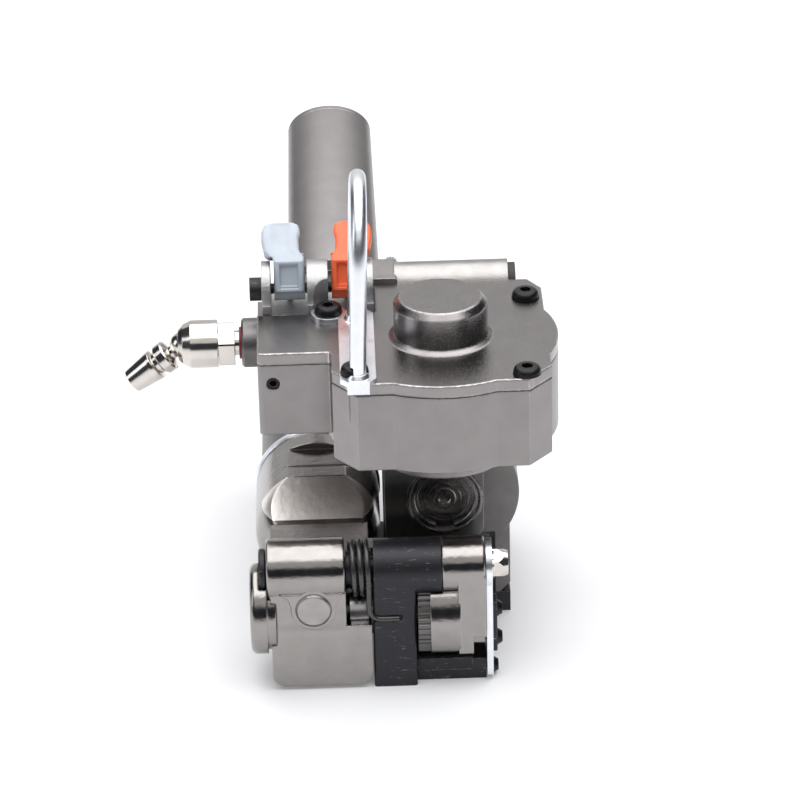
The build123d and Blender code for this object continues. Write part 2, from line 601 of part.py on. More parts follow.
# ---------------------------------------------------------------- press cylinder
def press_piston():
    """Piston with its ring groove."""
    crown = rod_z(PRESS_X, PRESS_Y, PRESS_BORE_R - RUN, *PISTON_Z)
    low, high = PISTON_Z[0] + 2.5, PISTON_Z[0] + 4.9
    groove = rod_z(PRESS_X, PRESS_Y, PRESS_BORE_R + 1, low, high)
    return crown - (groove - rod_z(PRESS_X, PRESS_Y, PRESS_BORE_R - 2.1, low, high))


def press_rod():
    """Rod from the piston to the carrier, whose T-slot the vibration arm hangs in."""
    rod = rod_z(PRESS_X, ROD_Y, ROD_R, 68.0, PISTON_Z[0])
    carrier = block(ARM_BLOCK_X[0] - 0.5, ARM_BLOCK_X[1] + 0.5, 45.6, 56.4, 64.9, 68.7)
    carrier -= block(-9, 28, 49.3, 52.7, 64, 66.6)
    carrier -= block(-9, 28, 47.3, 54.7, 65.9, 67.7)
    return rod + carrier


def press_spring():
    """Return spring under the piston."""
    wire_r, coil_r, length, pitch = 1.1, 7.5, 23.6, 5.0
    helix = Helix(pitch, length, coil_r)
    wire = sweep(Plane(helix @ 0, z_dir=helix % 0) * Circle(wire_r), path=helix)
    return Pos(PRESS_X, PRESS_Y - 5.4, 88.4) * wire


def cutter_blade():
    blade = block(*ARM_BLOCK_X, 43.2, 45.3, 13.5, 68.7)
    edge = slab_x(((42, 18), (44.6, 12), (42, 12)), -10, 30)
    return blade - edge - rod_y(PRESS_X, WELD_Z + 1.2, 8.0, 42, 46)


# ---------------------------------------------------------------- valve body and cover
def right_outline(z0, z1):
    """Right part: a chamfered rectangle joined with a round lobe about the press cylinder."""
    points = ((-31, 13.5), (-22.2, 2.2), (39.8, 2.2), (48.5, 12.5), (48.5, 78), (43.5, BODY_REAR),
              (-31, BODY_REAR))
    return slab_z(points, z0, z1) + rod_z(PRESS_X, PRESS_Y, LOBE_R, z0, z1)


def left_outline(z0, z1, rear):
    part = block(LEFT_X, -30, LEFT_FRONT, rear, z0, z1)
    return fillet(part.edges().filter_by(Axis.Z).group_by(Axis.Y)[0].group_by(Axis.X)[0], 2)


def bolt_holes(radius, z0, z1):
    return merge([rod_z(x, y, radius, z0, z1) for x, y in COVER_BOLTS])


def spool_axes():
    """Plan position of the two valve spools."""
    y = LEVER_PIN_Y + SPOOL_BACK
    return [(sum(TENSION_LEVER_X) / 2, y), (sum(WELD_LEVER_X) / 2, y)]


def valve_body():
    """Air block: press cylinder, neck, inlet gallery and the two valve bores."""
    body = right_outline(BODY_BOTTOM, BODY_TOP)
    body += left_outline(BODY_BOTTOM + 2, BODY_TOP, 84.0)
    body += rod_z(PRESS_X, PRESS_Y, 24.5, WELD_TOP, BODY_BOTTOM + 1)
    body -= rod_z(PRESS_X, PRESS_Y, PRESS_BORE_R, 87, BODY_TOP + 1)
    body -= rod_z(PRESS_X, ROD_Y, ROD_R + RUN, 60, 90)
    body -= bolt_holes(BOLT_R, BODY_TOP - 12, BODY_TOP + 1)
    for x, y in spool_axes():
        body -= rod_z(x, y, SPOOL_R + RUN, 88, BODY_TOP + 1)
    body -= rod_x(INLET_Y, INLET_Z, 6.0, LEFT_X - 1, LEFT_X + 7)
    body -= rod_x(INLET_Y, INLET_Z, 3.0, LEFT_X + 6, -27)
    return body - rod_y(*SET_SCREW, LEFT_FRONT - 1, LEFT_FRONT + 7)


def set_screw():
    x, z, radius = SET_SCREW
    screw = rod_y(x, z, radius, LEFT_FRONT + 0.6, LEFT_FRONT + 6.6)
    return screw - along_y(hexagon(2.5, 5.0), x, LEFT_FRONT + 0.6, z)


def cover_plan(z0, z1):
    """Plan of the cover and its gasket: the body's outline in front of the lever bracket."""
    plan = right_outline(z0, z1) + left_outline(z0, z1, BRACKET_Y[0] - 0.3)
    return plan - block(-60, -14.2, BRACKET_Y[0] - 0.3, 90, z0 - 1, z1 + 1)


def cover_gasket():
    gasket = cover_plan(BODY_TOP, BODY_TOP + GASKET_T)
    gasket -= rod_z(PRESS_X, PRESS_Y, PRESS_BORE_R + 0.5, BODY_TOP - 1, BODY_TOP + 2)
    return gasket - bolt_holes(BOLT_R + 0.2, BODY_TOP - 1, BODY_TOP + 2)


def top_cover():
    """Cover plate with the round cap that closes the press cylinder."""
    plate = cover_plan(BODY_TOP + GASKET_T, COVER_TOP)
    foot = Cone(CAP_R + 2.0, CAP_R, 1.4, align=(Align.CENTER, Align.CENTER, Align.MIN))
    cap = rod_z(PRESS_X, PRESS_Y, CAP_R, COVER_TOP - 1, CAP_TOP)
    cap = chamfer(cap.edges().group_by(Axis.Z)[-1], 2.5, 2.2)
    cover = plate + cap + Pos(PRESS_X, PRESS_Y, COVER_TOP) * foot
    cover -= rod_z(PRESS_X, PRESS_Y, PRESS_BORE_R, BODY_TOP, CAP_TOP - 5)
    return cover - bolt_holes(BOLT_R, BODY_TOP, COVER_TOP + 1)


def cover_bolts():
    bolts = []
    for number, (x, y) in enumerate(COVER_BOLTS):
        seat = COVER_TOP + (HANGER_T if number < 2 else 0)
        bolts.append(Pos(x, y, seat) * button_screw(BOLT_R, 5.25, 3.3, 14))
    return bolts


# ---------------------------------------------------------------- hanger
def hanger_plate():
    """Plate under the two left bolts; its front end turns down over the cover's edge."""
    z0, z1 = COVER_TOP, COVER_TOP + HANGER_T
    plate = slab_z(((-28, 3), (-25.5, 0.2), (-17.5, 0.2), (-15, 3), (-15, 57), (-17, 60), (-28, 60)), z0, z1)
    tab = rod_z(COVER_BOLTS[1][0], COVER_BOLTS[1][1], 6.4, z0, z1)
    lip = block(-25.5, -17.5, 0.2, 2.0, z0 - 3.2, z1)
    plate += tab + lip
    return plate - merge([rod_z(x, y, BOLT_R + 0.2, z0 - 1, z1 + 1) for x, y in COVER_BOLTS[:2]])


def hanger_bail():
    """Round-wire loop that the tool is hung from."""
    foot_z = COVER_TOP + HANGER_T
    front, rear = BAIL_Y
    half = (rear - front) / 2
    shoulder = BAIL_TOP - BAIL_R - half
    path = Line((0, front, foot_z), (0, front, shoulder))
    path += ThreePointArc((0, front, shoulder), (0, front + half, shoulder + half), (0, rear, shoulder))
    path += Line((0, rear, shoulder), (0, rear, foot_z))
    loop = sweep(Plane((0, front, foot_z)) * Circle(BAIL_R), path=path)
    leaning = Pos(0, 0, foot_z) * Rot(0, BAIL_LEAN, 0) * Pos(0, 0, -foot_z) * loop
    leaning = Pos(BAIL_X, 0, 0) * leaning
    welds = [Cone(4.3, 3.4, 1.4, align=(Align.CENTER, Align.CENTER, Align.MIN)).moved(
        Location((BAIL_X, y, foot_z))) for y in BAIL_Y]
    bolt_head = Pos(*COVER_BOLTS[0], foot_z) * Cylinder(5.4, 4.2, align=(Align.CENTER, Align.CENTER, Align.MIN))
    below = block(-40, 0, -10, 70, foot_z - 6, foot_z)
    return leaning + merge(welds) - below - bolt_head


# ---------------------------------------------------------------- levers and valves
def ear_profile(x0, x1):
    """Round-topped ear that carries the lever pin."""
    top = rod_x(LEVER_PIN_Y, LEVER_PIN_Z, 10.5, x0, x1)
    return top + block(x0, x1, BRACKET_Y[0], BRACKET_Y[1], BODY_TOP, LEVER_PIN_Z - 2)


def lever_bracket():
    """Rough casting with three ears for the lever pin."""
    base = block(*BRACKET_X, *BRACKET_Y, BODY_TOP, 115.0)
    bracket = base + merge([ear_profile(*span) for span in BRACKET_EARS])
    for x0, x1 in BRACKET_EARS:
        bracket += block(x0, x1, BRACKET_Y[1] - 3.5, BRACKET_Y[1], BODY_TOP, LEVER_PIN_Z)
    bracket -= rod_x(LEVER_PIN_Y, LEVER_PIN_Z, LEVER_PIN_R, -60, -10)
    for x, y in spool_axes():
        bracket -= rod_z(x, y, SPOOL_R + RUN, BODY_TOP - 1, 117)
    return bracket - rod_z(*COVER_BOLTS[1], 6.6, COVER_TOP, 140)


def lever_pin():
    pin = rod_x(LEVER_PIN_Y, LEVER_PIN_Z, LEVER_PIN_R, -56.4, -14.5)
    head = rod_x(LEVER_PIN_Y, LEVER_PIN_Z, 4.4, -60.6, -56.0)
    return pin + head - hex_x(LEVER_PIN_Y, LEVER_PIN_Z, 3.5, -61, -58.2)


def lever(x0, x1, pad_shift):
    """Thumb lever: hub and foot on the pin, and a wider pad set to one side."""
    y, z = LEVER_PIN_Y, LEVER_PIN_Z
    base = slab_x(((y - 6, z + 1.5), (y - 3.5, z + 12), (y + 1, z + 15), (y + 5, z + 11), (y + 6, z + 3),
                   (y + 10.5, z - 0.5), (y + 10.5, z - 3.5), (y - 3, z - 3.5)), x0, x1)
    base += rod_x(y, z, 4.4, x0, x1)
    inset = 1.1
    left = x0 + (pad_shift if pad_shift < 0 else inset)
    right = x1 + (pad_shift if pad_shift > 0 else -inset)
    tip = ((y - 3.3, z + 12.6), (y + 11, z + 22.3), (y + 13.6, z + 18.6), (y + 2.6, z + 11.4))
    pad = slab_x(tip, left, right)
    pad = fillet(pad.edges().filter_by(Axis.Z, tolerance=89).group_by(Axis.Z)[-1], 0.8)
    pocket = Pos((x0 + x1) / 2, y - 5.2, z + 6.6) * Rot(-13, 0, 0) * Box(8.0, 1.6, 7.0)
    return base + pad - pocket - rod_x(y, z, LEVER_PIN_R + RUN, x0 - 1, x1 + 1)


def tension_lever():
    return lever(*TENSION_LEVER_X, -PAD_SHIFT)


def weld_lever():
    return lever(*WELD_LEVER_X, PAD_SHIFT)


def spool(x, y):
    """Valve spool with a slim push tip under the lever's foot."""
    body = rod_z(x, y, SPOOL_R, 92, 113.4) + rod_z(x, y, 1.0, 113, LEVER_PIN_Z - 4.0)
    waist = rod_z(x, y, SPOOL_R + 1, 99, 104) - rod_z(x, y, 2.0, 99, 104)
    return body - waist


def tension_spool():
    return spool(*spool_axes()[0])


def weld_spool():
    return spool(*spool_axes()[1])


# ---------------------------------------------------------------- handle
def handle_plane(distance):
    """Section plane of the handle, a distance along its axis from the root."""
    tilt = radians(HANDLE_TILT)
    y = HANDLE_ROOT[0] + distance * cos(tilt)
    z = HANDLE_ROOT[1] + distance * sin(tilt)
    return Plane((HANDLE_X, y, z), x_dir=(1, 0, 0), z_dir=(0, cos(tilt), sin(tilt)))


def handle_oval(inset, start, end):
    """Stretch of the tapering oval grip, inset from its outer surface."""
    faces = []
    for distance in (start, end):
        share = distance / HANDLE_LENGTH
        half_w, half_h = [a + (b - a) * share - inset for a, b in zip(HANDLE_ROOT_HALF, HANDLE_END_HALF)]
        faces.append(handle_plane(distance) * Ellipse(half_w, half_h))
    return loft(faces)


def handle_casting():
    """Hollow oval grip with the root block that bolts to the valve body."""
    x0, x1, y0, y1, z0, z1 = ROOT_BLOCK
    root = block(x0, x1, y0, y1, z0, z1)
    root = fillet(root.edges().filter_by(Axis.Y).group_by(Axis.Z)[0], 6)
    root -= block(-31.5, 0, 80, BODY_REAR + 0.2, 70, 120)
    return root + handle_oval(0, 2, HANDLE_LENGTH) - handle_oval(HANDLE_WALL, 14, HANDLE_LENGTH + 1)


def handle_end_plug():
    lid = handle_oval(0, HANDLE_LENGTH, HANDLE_LENGTH + 3)
    lid = chamfer(lid.edges().sort_by(Axis.Y)[-1], 0.8)
    return lid + handle_oval(HANDLE_WALL + 0.1, HANDLE_LENGTH - 8, HANDLE_LENGTH)


# ---------------------------------------------------------------- air inlet
def inlet_boss():
    boss = rod_x(INLET_Y, INLET_Z, 9.3, -64.4, LEFT_X)
    boss = chamfer(boss.edges().group_by(Axis.X)[0], 0.8) + rod_x(INLET_Y, INLET_Z, 6.0, LEFT_X, LEFT_X + 7)
    return boss - rod_x(INLET_Y, INLET_Z, 4.8, -70, -55) - rod_x(INLET_Y, INLET_Z, 3.0, -56, -50)


def inlet_seal():
    return rod_x(INLET_Y, INLET_Z, 6.0, -65.3, -64.4) - rod_x(INLET_Y, INLET_Z, 4.8, -66, -64)


def inlet_nut():
    """Hexagon stem that is screwed into the boss; the swivel turns on its spigot."""
    x0, x1 = -73.0, -66.9
    centre = Pos((x0 + x1) / 2, INLET_Y, INLET_Z)
    turned = centre * Rot(-21, 0, 0) * Rot(0, 90, 0) * Rot(0, 0, 30) * hexagon(16.0, x1 - x0)
    rounded = turned & rod_x(INLET_Y, INLET_Z, 9.0, x0, x1)
    thread = rod_x(INLET_Y, INLET_Z, 4.75, -67, -58)
    spigot = rod_x(INLET_Y, INLET_Z, 5.0, -80.0, -73.0)
    return rounded + thread + spigot - rod_x(INLET_Y, INLET_Z, 2.6, -81, -50)


def swivel_body():
    """Round body that turns on the stem and holds the plug's ball."""
    room = BALL_R + 0.2
    mouth = 1.7
    mouth_r = (room ** 2 - mouth ** 2) ** 0.5
    seat = (room ** 2 - 2.6 ** 2) ** 0.5
    outline = Polyline((-80.4, 0, 2.6), (-80.4, 0, SHAFT_R + RUN), (-73.3, 0, SHAFT_R + RUN), (-73.3, 0, 9.1),
                       (BALL_X + 3.0, 0, 9.1), (BALL_X, 0, 7.6), (BALL_X - mouth, 0, 5.8),
                       (BALL_X - mouth, 0, mouth_r))
    socket = ThreePointArc((BALL_X - mouth, 0, mouth_r), (BALL_X, 0, room), (BALL_X + seat, 0, 2.6))
    closing = Line((BALL_X + seat, 0, 2.6), (-80.4, 0, 2.6))
    body = revolve(make_face(outline + socket + closing), Axis.X)
    return Pos(0, INLET_Y, INLET_Z) * body


def air_plug():
    """Ball, neck, collar and quick-release nose, turned about one axis."""
    profile = ((0, 3), (2.6, 3), (2.6, 5.6), (5.4, 6.4), (6.0, 6.9), (6.0, 10.1), (5.4, 10.7), (4.2, 11.0),
               (4.2, 12.6), (5.9, 13.0), (5.9, 14.2), (4.7, 24.3), (0, 24.3))
    outline = Polyline(*[(r, 0, s) for r, s in profile], close=True)
    plug = revolve(make_face(outline), Axis.Z) + Sphere(BALL_R) - rod_z(0, 0, 2.0, -2, 25)
    return Pos(BALL_X, INLET_Y, INLET_Z) * Rot(0, 270 - PLUG_TILT, 0) * plug


# ---------------------------------------------------------------- weld timer
def timer_housing():
    """Round timer cylinder with the square block that holds its adjusting knob."""
    body = rod_x(TIMER_Y, TIMER_Z, TIMER_R, *TIMER_X)
    valve = block(TIMER_BLOCK_X[0], TIMER_BLOCK_X[1] + 1, BODY_REAR, 103.5, 103.0, 119.0)
    valve = chamfer(valve.edges().filter_by(Axis.Y), 0.8)
    body = body + valve - rod_x(TIMER_Y, TIMER_Z, 6.5, TIMER_X[0] + 5, TIMER_X[1] + 1)
    return body - rod_y(KNOB_X, KNOB_Z, 1.6, 95, 106)


def timer_plug():
    end = TIMER_X[1]
    plug = rod_x(TIMER_Y, TIMER_Z, 6.45, end - 6, end + 1) + rod_x(TIMER_Y, TIMER_Z, 7.6, end, end + 2.8)
    return plug - hex_x(TIMER_Y, TIMER_Z, 5, end + 1.2, end + 3)


def timer_knob():
    knob = rod_y(KNOB_X, KNOB_Z, KNOB_R, 104.7, 109.5)
    flutes = ring_of(rod_z(0, 0, 0.35, 0, 8), 14, KNOB_R)
    knob -= along_y(merge(flutes), KNOB_X, 102, KNOB_Z)
    return knob + rod_y(KNOB_X, KNOB_Z, 1.55, 97, 105.0)


# ---------------------------------------------------------------- every piece of the tool
PIECES = (
    base_plate, base_arm, gripper_plate, lower_weld_jaw, side_plate, guide_strip, side_screws,
    pivot_pin, pivot_nut, pivot_sleeve, torsion_spring,
    rocker_casting, gear_cover, front_plug, feed_wheel, feed_shaft, feed_bearings, crown_gear,
    tension_rotor, tension_vanes, tension_liner, motor_collar, motor_barrel, motor_rear_cover,
    weld_housing, bearing_outer_ring, bearing_inner_ring, weld_shaft, weld_rotor, weld_vanes,
    weld_liner, weld_rear_cover, vibration_arm,
    press_piston, press_rod, press_spring, cutter_blade,
    valve_body, set_screw, cover_gasket, top_cover, cover_bolts, hanger_plate, hanger_bail,
    lever_bracket, lever_pin, tension_lever, weld_lever, tension_spool, weld_spool,
    handle_casting, handle_end_plug, inlet_boss, inlet_seal, inlet_nut, swivel_body, air_plug,
    timer_housing, timer_plug, timer_knob,
)

os.makedirs("parts", exist_ok=True)
for make in PIECES:
    made = make()
    solids = [s for piece in (made if isinstance(made, list) else [made]) for s in piece.solids()]
    shape = solids[0] if len(solids) == 1 else Compound(children=solids)
    shape.label = make.__name__
    export_step(shape, f"parts/{make.__name__}.step")
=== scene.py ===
"""Looks of the pneumatic strapping tensioner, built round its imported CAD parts.

Metres, in the parts' own frame: +X right, +Y towards the end of the handle, +Z up.
"""
import json
from math import cos, pi, radians, sin

import bmesh
import bpy
from mathutils import Matrix, Vector


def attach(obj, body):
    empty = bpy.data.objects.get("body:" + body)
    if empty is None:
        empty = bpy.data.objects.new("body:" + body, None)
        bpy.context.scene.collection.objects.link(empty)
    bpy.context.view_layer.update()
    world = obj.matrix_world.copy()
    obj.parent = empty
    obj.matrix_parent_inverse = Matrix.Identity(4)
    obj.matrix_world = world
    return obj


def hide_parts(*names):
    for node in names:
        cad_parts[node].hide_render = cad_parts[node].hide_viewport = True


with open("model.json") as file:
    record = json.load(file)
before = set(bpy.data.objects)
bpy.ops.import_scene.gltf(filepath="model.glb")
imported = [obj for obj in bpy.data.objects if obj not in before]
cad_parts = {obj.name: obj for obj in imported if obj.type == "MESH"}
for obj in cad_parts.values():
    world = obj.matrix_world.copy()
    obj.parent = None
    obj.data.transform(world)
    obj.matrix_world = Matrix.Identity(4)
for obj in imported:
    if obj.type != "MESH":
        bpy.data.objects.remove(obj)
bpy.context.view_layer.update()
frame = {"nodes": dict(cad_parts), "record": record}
MM = 0.001


# ---------------------------------------------------------------- camera, lights, floor
TARGET = Vector((-7, -13, 118)) * MM
CAMERA_DISTANCE = 1.418
CAMERA_PITCH = radians(27.0)
CAMERA_YAW = radians(1.0)
CAMERA_ROLL = radians(1.4)
LENS_MM, SENSOR_MM = 180, 36


def make_camera():
    """Long lens, looking down on the front of the tool."""
    level = cos(CAMERA_PITCH)
    forward = Vector((sin(CAMERA_YAW) * level, cos(CAMERA_YAW) * level, -sin(CAMERA_PITCH)))
    right = Vector((cos(CAMERA_YAW), -sin(CAMERA_YAW), 0))
    up = right.cross(forward)
    side = right * cos(CAMERA_ROLL) - up * sin(CAMERA_ROLL)
    top = up * cos(CAMERA_ROLL) + right * sin(CAMERA_ROLL)
    data = bpy.data.cameras.new("camera")
    data.lens = LENS_MM
    data.sensor_width = SENSOR_MM
    camera = bpy.data.objects.new("camera", data)
    turn = Matrix((side, top, -forward)).transposed().to_4x4()
    camera.matrix_world = Matrix.Translation(TARGET - forward * CAMERA_DISTANCE) @ turn
    bpy.context.scene.collection.objects.link(camera)
    bpy.context.scene.camera = camera


def softbox(name, centre, size, aim, power, tint=(1, 1, 1)):
    """Rectangular lamp at a centre, facing an aim point, all in metres; power in watts."""
    data = bpy.data.lights.new(name, "AREA")
    data.shape = "RECTANGLE"
    data.size, data.size_y = size
    data.energy = power
    data.color = tint
    light = bpy.data.objects.new(name, data)
    direction = Vector(aim) - Vector(centre)
    turn = direction.to_track_quat("-Z", "Y").to_matrix().to_4x4()
    light.matrix_world = Matrix.Translation(centre) @ turn
    bpy.context.scene.collection.objects.link(light)


def make_lights():
    """One large softbox overhead, weaker ones in front, behind and on the left, and a dim room."""
    softbox("overhead", (0.05, 0.22, 1.15), (1.7, 1.8), (0.05, 0.21, 0), 28)
    softbox("left_fill", (-1.6, -0.2, 0.7), (0.7, 0.9), (0, 0.05, 0.08), 3.5, (0.93, 0.96, 1.0))
    softbox("front_top", (0, -0.95, 1.0), (1.7, 0.6), (0, 0.03, 0.06), 2.4)
    softbox("back_wall", (0, 2.6, 1.1), (4.0, 2.2), (0, 0, 0.1), 19)
    world = bpy.data.worlds.new("studio")
    world.use_nodes = True
    background = world.node_tree.nodes["Background"]
    background.inputs["Color"].default_value = (0.80, 0.86, 1.0, 1)
    background.inputs["Strength"].default_value = 0.05
    bpy.context.scene.world = world
    bpy.context.scene.view_settings.view_transform = "Standard"


def make_floor():
    """Plain pale floor that glows a little, so that it stays light away from the lamps."""
    mesh = bpy.data.meshes.new("floor")
    half = 8.0
    corners = [(-half, -half, 0), (half, -half, 0), (half, half, 0), (-half, half, 0)]
    mesh.from_pydata(corners, [], [(0, 1, 2, 3)])
    floor = bpy.data.objects.new("floor", mesh)
    bpy.context.scene.collection.objects.link(floor)
    material = Paint("floor_paper", (0.80, 0.80, 0.815), roughness=0.9)
    material.shader.inputs["Emission Color"].default_value = (1, 1, 1, 1)
    material.shader.inputs["Emission Strength"].default_value = 0.16
    mesh.materials.append(material.data)


# ---------------------------------------------------------------- material kit
class Paint:
    """A Principled material on the object's own coordinates, with the node groups used here."""

    def __init__(self, name, colour, roughness=0.5, metallic=0.0):
        self.data = bpy.data.materials.new(name)
        self.data.use_nodes = True
        self.tree = self.data.node_tree
        self.nodes = self.tree.nodes
        self.shader = self.nodes["Principled BSDF"]
        self.coords = self.nodes.new("ShaderNodeTexCoord").outputs["Object"]
        self.shader.inputs["Base Color"].default_value = (*colour, 1)
        self.shader.inputs["Roughness"].default_value = roughness
        self.shader.inputs["Metallic"].default_value = metallic
        self.normal = None

    def link(self, source, target):
        self.tree.links.new(source, target)

    def math(self, operation, a, b=0.5):
        """One sum over sockets or plain numbers."""
        node = self.nodes.new("ShaderNodeMath")
        node.operation = operation
        for socket, value in zip(node.inputs, (a, b)):
            if isinstance(value, (int, float)):
                socket.default_value = value
            else:
                self.link(value, socket)
        return node.outputs[0]

    def noise(self, size_mm, detail=4.0, rough=0.55, stretch=(1, 1, 1)):
        """Noise between 0 and 1 whose blobs are about size_mm wide."""
        mapping = self.nodes.new("ShaderNodeMapping")
        mapping.inputs["Scale"].default_value = stretch
        self.link(self.coords, mapping.inputs["Vector"])
        node = self.nodes.new("ShaderNodeTexNoise")
        node.inputs["Scale"].default_value = 1 / (size_mm * MM)
        node.inputs["Detail"].default_value = detail
        node.inputs["Roughness"].default_value = rough
        self.link(mapping.outputs[0], node.inputs["Vector"])
        return node.outputs["Fac"]

    def spread(self, value, low, high, to_low=0.0, to_high=1.0):
        """A value's stretch from low to high, mapped to another range and clamped."""
        node = self.nodes.new("ShaderNodeMapRange")
        self.link(value, node.inputs["Value"])
        limits = {"From Min": low, "From Max": high, "To Min": to_low, "To Max": to_high}
        for name, number in limits.items():
            node.inputs[name].default_value = number
        return node.outputs["Result"]

    def blend(self, mask, first, second):
        """Colour that goes from first to second with the mask."""
        node = self.nodes.new("ShaderNodeMix")
        node.data_type = "RGBA"
        self.link(mask, node.inputs["Factor"])
        for socket, value in ((node.inputs["A"], first), (node.inputs["B"], second)):
            if isinstance(value, tuple):
                socket.default_value = (*value, 1)
            else:
                self.link(value, socket)
        return node.outputs["Result"]

    def axis(self, letter):
        """The object's own X, Y or Z."""
        node = self.nodes.new("ShaderNodeSeparateXYZ")
        self.link(self.coords, node.inputs[0])
        return node.outputs[letter]

    def rounded(self, radius_mm):
        """Shades edges as if they had a small radius, and returns a mask of those edges."""
        bevel = self.nodes.new("ShaderNodeBevel")
        bevel.samples = 6
        bevel.inputs["Radius"].default_value = radius_mm * MM
        geometry = self.nodes.new("ShaderNodeNewGeometry")
        dot = self.nodes.new("ShaderNodeVectorMath")
        dot.operation = "DOT_PRODUCT"
        self.link(bevel.outputs["Normal"], dot.inputs[0])
        self.link(geometry.outputs["Normal"], dot.inputs[1])
        self.normal = bevel.outputs["Normal"]
        return self.spread(dot.outputs["Value"], 0.995, 0.80)

    def bump(self, height, depth_mm):
        """Small relief from a height between 0 and 1."""
        node = self.nodes.new("ShaderNodeBump")
        node.inputs["Strength"].default_value = 1.0
        node.inputs["Distance"].default_value = depth_mm * MM
        self.link(height, node.inputs["Height"])
        if self.normal is not None:
            self.link(self.normal, node.inputs["Normal"])
        self.normal = node.outputs["Normal"]

    def finish(self, colour, roughness):
        """Joins everything to the shader and gives the material."""
        self.link(colour, self.shader.inputs["Base Color"])
        self.link(roughness, self.shader.inputs["Roughness"])
        self.link(self.normal, self.shader.inputs["Normal"])
        return self.data


def scaled(colour, factor):
    """A colour made darker or lighter, no brighter than white."""
    return tuple(min(1.0, c * factor) for c in colour)


def cast_metal(name, colour, roughness, grain_mm=0.55, grain_depth=0.05,
               edge=1.5, round_mm=0.5, blotch=0.12):
    """Coated casting: fine pebbled skin, faint blotches, and edges painted brighter, partly as rubbed wear
    and partly as a painted edge highlight.
    """
    paint = Paint(name, colour, roughness, metallic=1.0)
    edges = paint.rounded(round_mm)
    grain = paint.noise(grain_mm, detail=5, rough=0.65)
    clouds = paint.noise(9.0, detail=3)
    dark, light = scaled(colour, 1 - blotch), scaled(colour, 1 + blotch)
    tone = paint.blend(paint.spread(clouds, 0.3, 0.7), dark, light)
    speck = paint.spread(paint.noise(1.3, detail=6, rough=0.7), 0.62, 0.75)
    tone = paint.blend(paint.math("MULTIPLY", speck, 0.35), tone, scaled(colour, 0.72))
    # edges painted brighter by the edge factor: partly rubbed wear, partly a painted highlight where light
    # would catch the edges
    rubbed_wear_and_highlight = paint.math("MULTIPLY", edges, paint.spread(paint.noise(2.2), 0.38, 0.62, 0.25, 1.0))
    tone = paint.blend(rubbed_wear_and_highlight, tone, scaled(colour, edge))
    paint.bump(grain, grain_depth)
    return paint.finish(tone, paint.spread(grain, 0.3, 0.7, roughness - 0.07, roughness + 0.09))


def plated_metal(name, colour, roughness, round_mm=0.4, wave_depth=0.02, smudge=0.06, frosted_and_highlit=None):
    """Bright plating: slightly wavy, with faint smudges, and edges painted brighter as a painted
    highlight. A frosted range of Y and lowest Z stays rougher and is painted three times brighter, partly
    a frosted finish and partly a painted highlight.
    """
    paint = Paint(name, colour, roughness, metallic=1.0)
    edges = paint.rounded(round_mm)
    waves = paint.noise(3.5, detail=3)
    fine = paint.noise(0.5, detail=4, rough=0.7)
    smears = paint.noise(7.0, detail=5, rough=0.6)
    tone = paint.blend(paint.spread(smears, 0.35, 0.7), scaled(colour, 0.93), scaled(colour, 1.05))
    # painted highlight: edges painted brighter than the plating
    tone = paint.blend(edges, tone, scaled(colour, 1.3))
    paint.bump(waves, wave_depth * 4)
    paint.bump(fine, wave_depth)
    rough = paint.spread(smears, 0.3, 0.75, roughness, roughness + smudge)
    if frosted_and_highlit is not None:
        front, rear, low = [value * MM for value in frosted_and_highlit]
        along = paint.axis("Y")
        behind_front = paint.math("GREATER_THAN", along, front)
        before_rear = paint.math("LESS_THAN", along, rear)
        inside = paint.math("MULTIPLY", behind_front, before_rear)
        inside = paint.math("MULTIPLY", inside, paint.math("GREATER_THAN", paint.axis("Z"), low))
        rough = paint.math("ADD", rough, paint.math("MULTIPLY", inside, 0.22))
        # painted highlight: the frosted facet's colour tripled, besides its real extra roughness
        tone = paint.blend(inside, tone, scaled(colour, 3.0))
    return paint.finish(tone, rough)


def black_oxide(name, colour, roughness, scratch=0.5, round_mm=0.35):
    """Blackened steel: fine light scratches, and edges painted lighter, partly as bare worn metal and
    partly as a painted edge highlight.
    """
    paint = Paint(name, colour, roughness, metallic=0.7)
    edges = paint.rounded(round_mm)
    streaks = paint.spread(paint.noise(1.6, detail=7, rough=0.75, stretch=(0.35, 1, 3.0)), 0.60, 0.68)
    patches = paint.spread(paint.noise(7.0, detail=2), 0.44, 0.56)
    worn = paint.math("MULTIPLY", paint.math("MULTIPLY", streaks, patches), min(1.0, scratch * 0.8))
    tone = paint.blend(worn, colour, (0.42, 0.42, 0.43))
    # edges painted lighter: partly bare worn metal, partly a painted highlight
    rubbed_wear_and_highlight = paint.math("MULTIPLY", edges, paint.spread(paint.noise(1.6), 0.40, 0.65, 0.1, 0.8))
    tone = paint.blend(rubbed_wear_and_highlight, tone, (0.30, 0.30, 0.31))
    grain = paint.noise(0.4, detail=4)
    paint.bump(grain, 0.03)
    return paint.finish(tone, paint.spread(grain, 0.3, 0.7, roughness - 0.06, roughness + 0.1))


def turned_steel(name, colour, roughness):
    """Ground or turned steel with fine tool marks."""
    paint = Paint(name, colour, roughness, metallic=1.0)
    edges = paint.rounded(0.3)
    marks = paint.noise(0.8, detail=4, stretch=(0.2, 4, 4))
    tone = paint.blend(paint.spread(marks, 0.3, 0.7), scaled(colour, 0.85), scaled(colour, 1.15))
    # painted highlight: edges painted brighter than the steel
    tone = paint.blend(edges, tone, scaled(colour, 1.4))
    paint.bump(marks, 0.02)
    return paint.finish(tone, paint.spread(marks, 0.3, 0.7, roughness - 0.05, roughness + 0.08))


